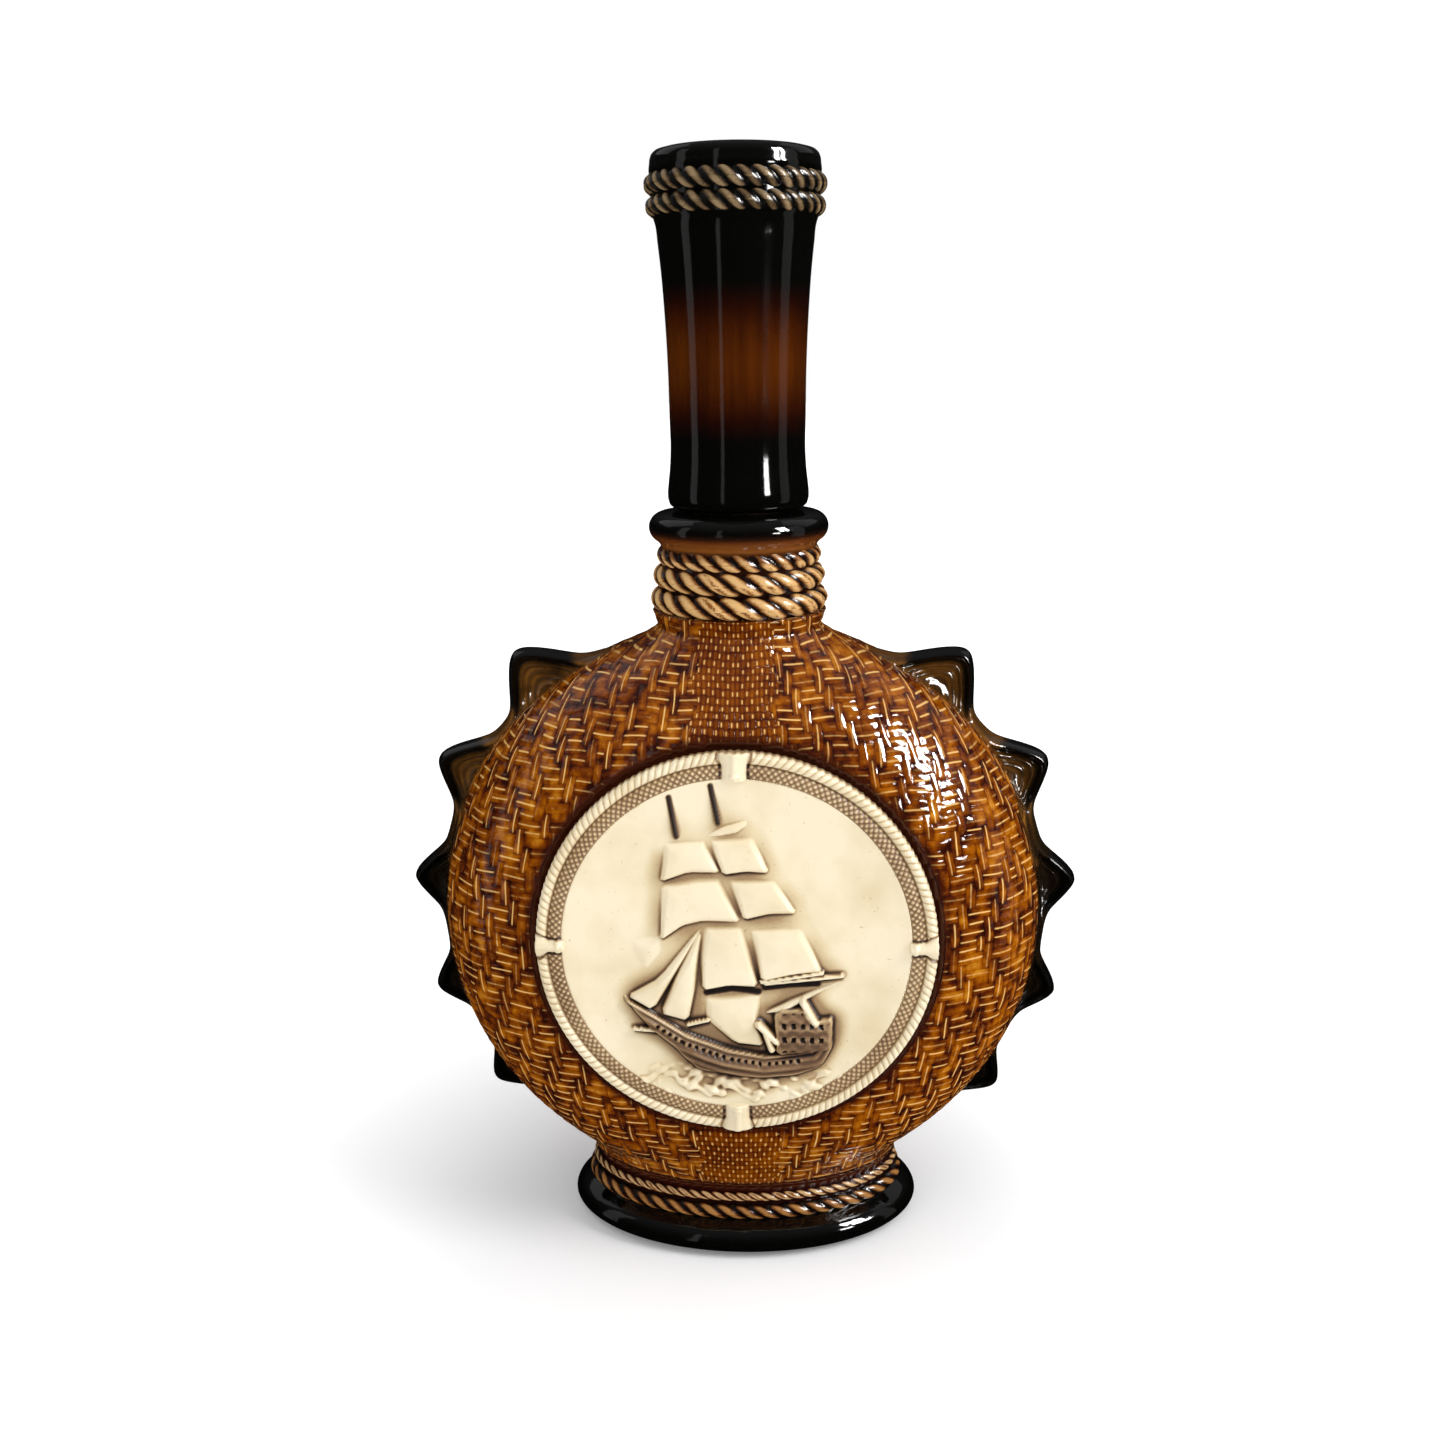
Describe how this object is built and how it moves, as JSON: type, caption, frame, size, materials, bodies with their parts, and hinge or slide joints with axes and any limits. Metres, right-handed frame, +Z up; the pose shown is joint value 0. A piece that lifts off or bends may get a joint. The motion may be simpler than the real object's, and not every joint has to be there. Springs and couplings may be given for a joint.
{
  "type": "flask decanter with ship medallion and corked stopper",
  "caption": "Upright oval-footed ceramic flask with woven relief, pointed rim fins, roped neck, round ship medallion and a tall corked stopper that lifts out; holds and pours liquid.",
  "frame": {"origin": "centre of the foot's flat underside", "axes": "+Z up the neck, -Y out of the medallion face, +X to the right of someone facing the medallion"},
  "size_m": [0.1766, 0.081, 0.28],
  "materials": {
    "amber_glaze": "glossy amber-brown glaze pooling dark in the grooves of a basket-weave relief, black on fins, collar and foot",
    "black_glaze": "glossy black glaze fading to amber-brown in a soft band at mid height",
    "cream_bisque": "satin cream ceramic with a brown wash left in the recesses",
    "cork": "natural cork, matt, with dark pores",
    "adhesive": "cured tan adhesive"
  },
  "bodies": {
    "bottle": {"bottle_body": "amber_glaze", "medallion": "cream_bisque", "medallion_adhesive": "adhesive"},
    "stopper": {"stopper_shell": "black_glaze", "stopper_cork": "cork", "cork_adhesive": "adhesive"}
  },
  "joints": [
    {"name": "stopper_lift", "type": "slide", "parent": "bottle", "child": "stopper", "axis": [0, 0, 1], "range_m": [0, 0.032]}
  ]
}
